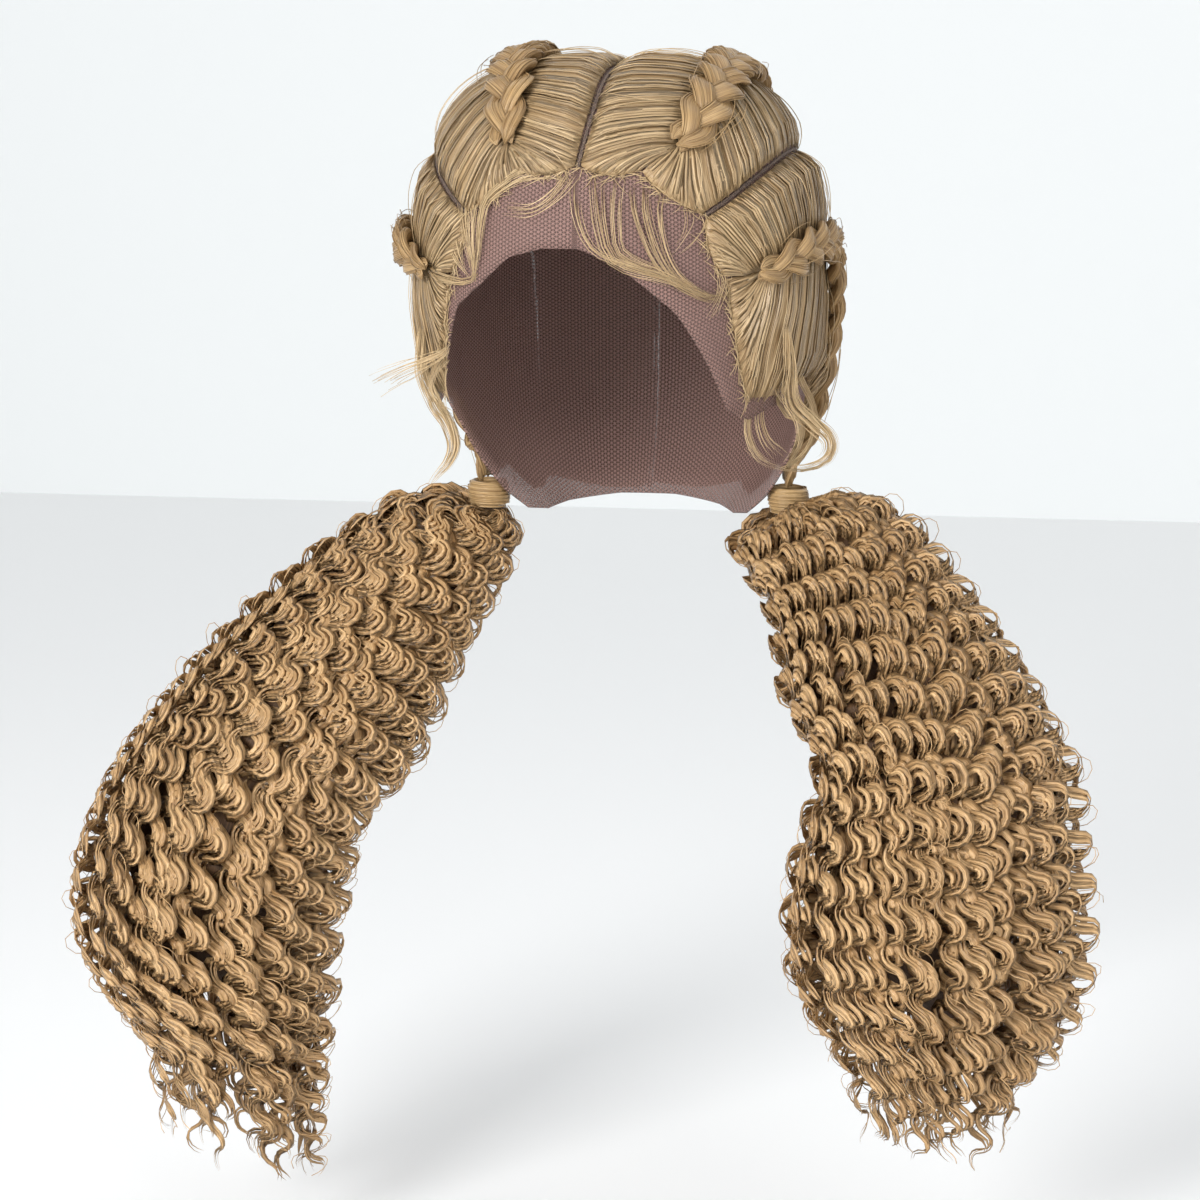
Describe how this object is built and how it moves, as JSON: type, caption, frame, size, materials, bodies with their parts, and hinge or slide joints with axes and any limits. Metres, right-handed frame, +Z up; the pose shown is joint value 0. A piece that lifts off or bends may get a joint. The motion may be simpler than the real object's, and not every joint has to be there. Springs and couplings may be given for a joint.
{
  "type": "braided wig",
  "caption": "Lace front wig in its worn form, with braids over the head drawn into wrapped side ties that end in long curly ponytails.",
  "frame": {"origin": "inside of the lace cap at the top of the crown, where the wig sits on a head", "axes": "+Z up, the wearer looks along -Y, the wearer's left is +X"},
  "size_m": [0.4474, 0.2039, 0.4969],
  "materials": {
    "lace": "sheer mauve-brown net",
    "blonde_combed_hair": "smooth combed fibre with a soft sheen",
    "blonde_braided_hair": "tightly braided fibre",
    "blonde_curly_hair": "deep wave curls",
    "blonde_wrapped_hair": "tightly wound fibre",
    "blonde_fine_hair": "loose fine strands"
  },
  "bodies": {
    "root": {"lace_cap": "lace", "top_panel_left": "blonde_combed_hair", "top_panel_right": "blonde_combed_hair", "side_panel_left": "blonde_combed_hair", "side_panel_right": "blonde_combed_hair", "top_braid_left": "blonde_braided_hair", "top_braid_right": "blonde_braided_hair", "side_braid_left": "blonde_braided_hair", "side_braid_right": "blonde_braided_hair", "hair_wrap_left": "blonde_wrapped_hair", "hair_wrap_right": "blonde_wrapped_hair", "ponytail_left": "blonde_curly_hair", "ponytail_right": "blonde_curly_hair", "temple_curl_left": "blonde_fine_hair", "temple_curl_right": "blonde_fine_hair"}
  },
  "joints": []
}
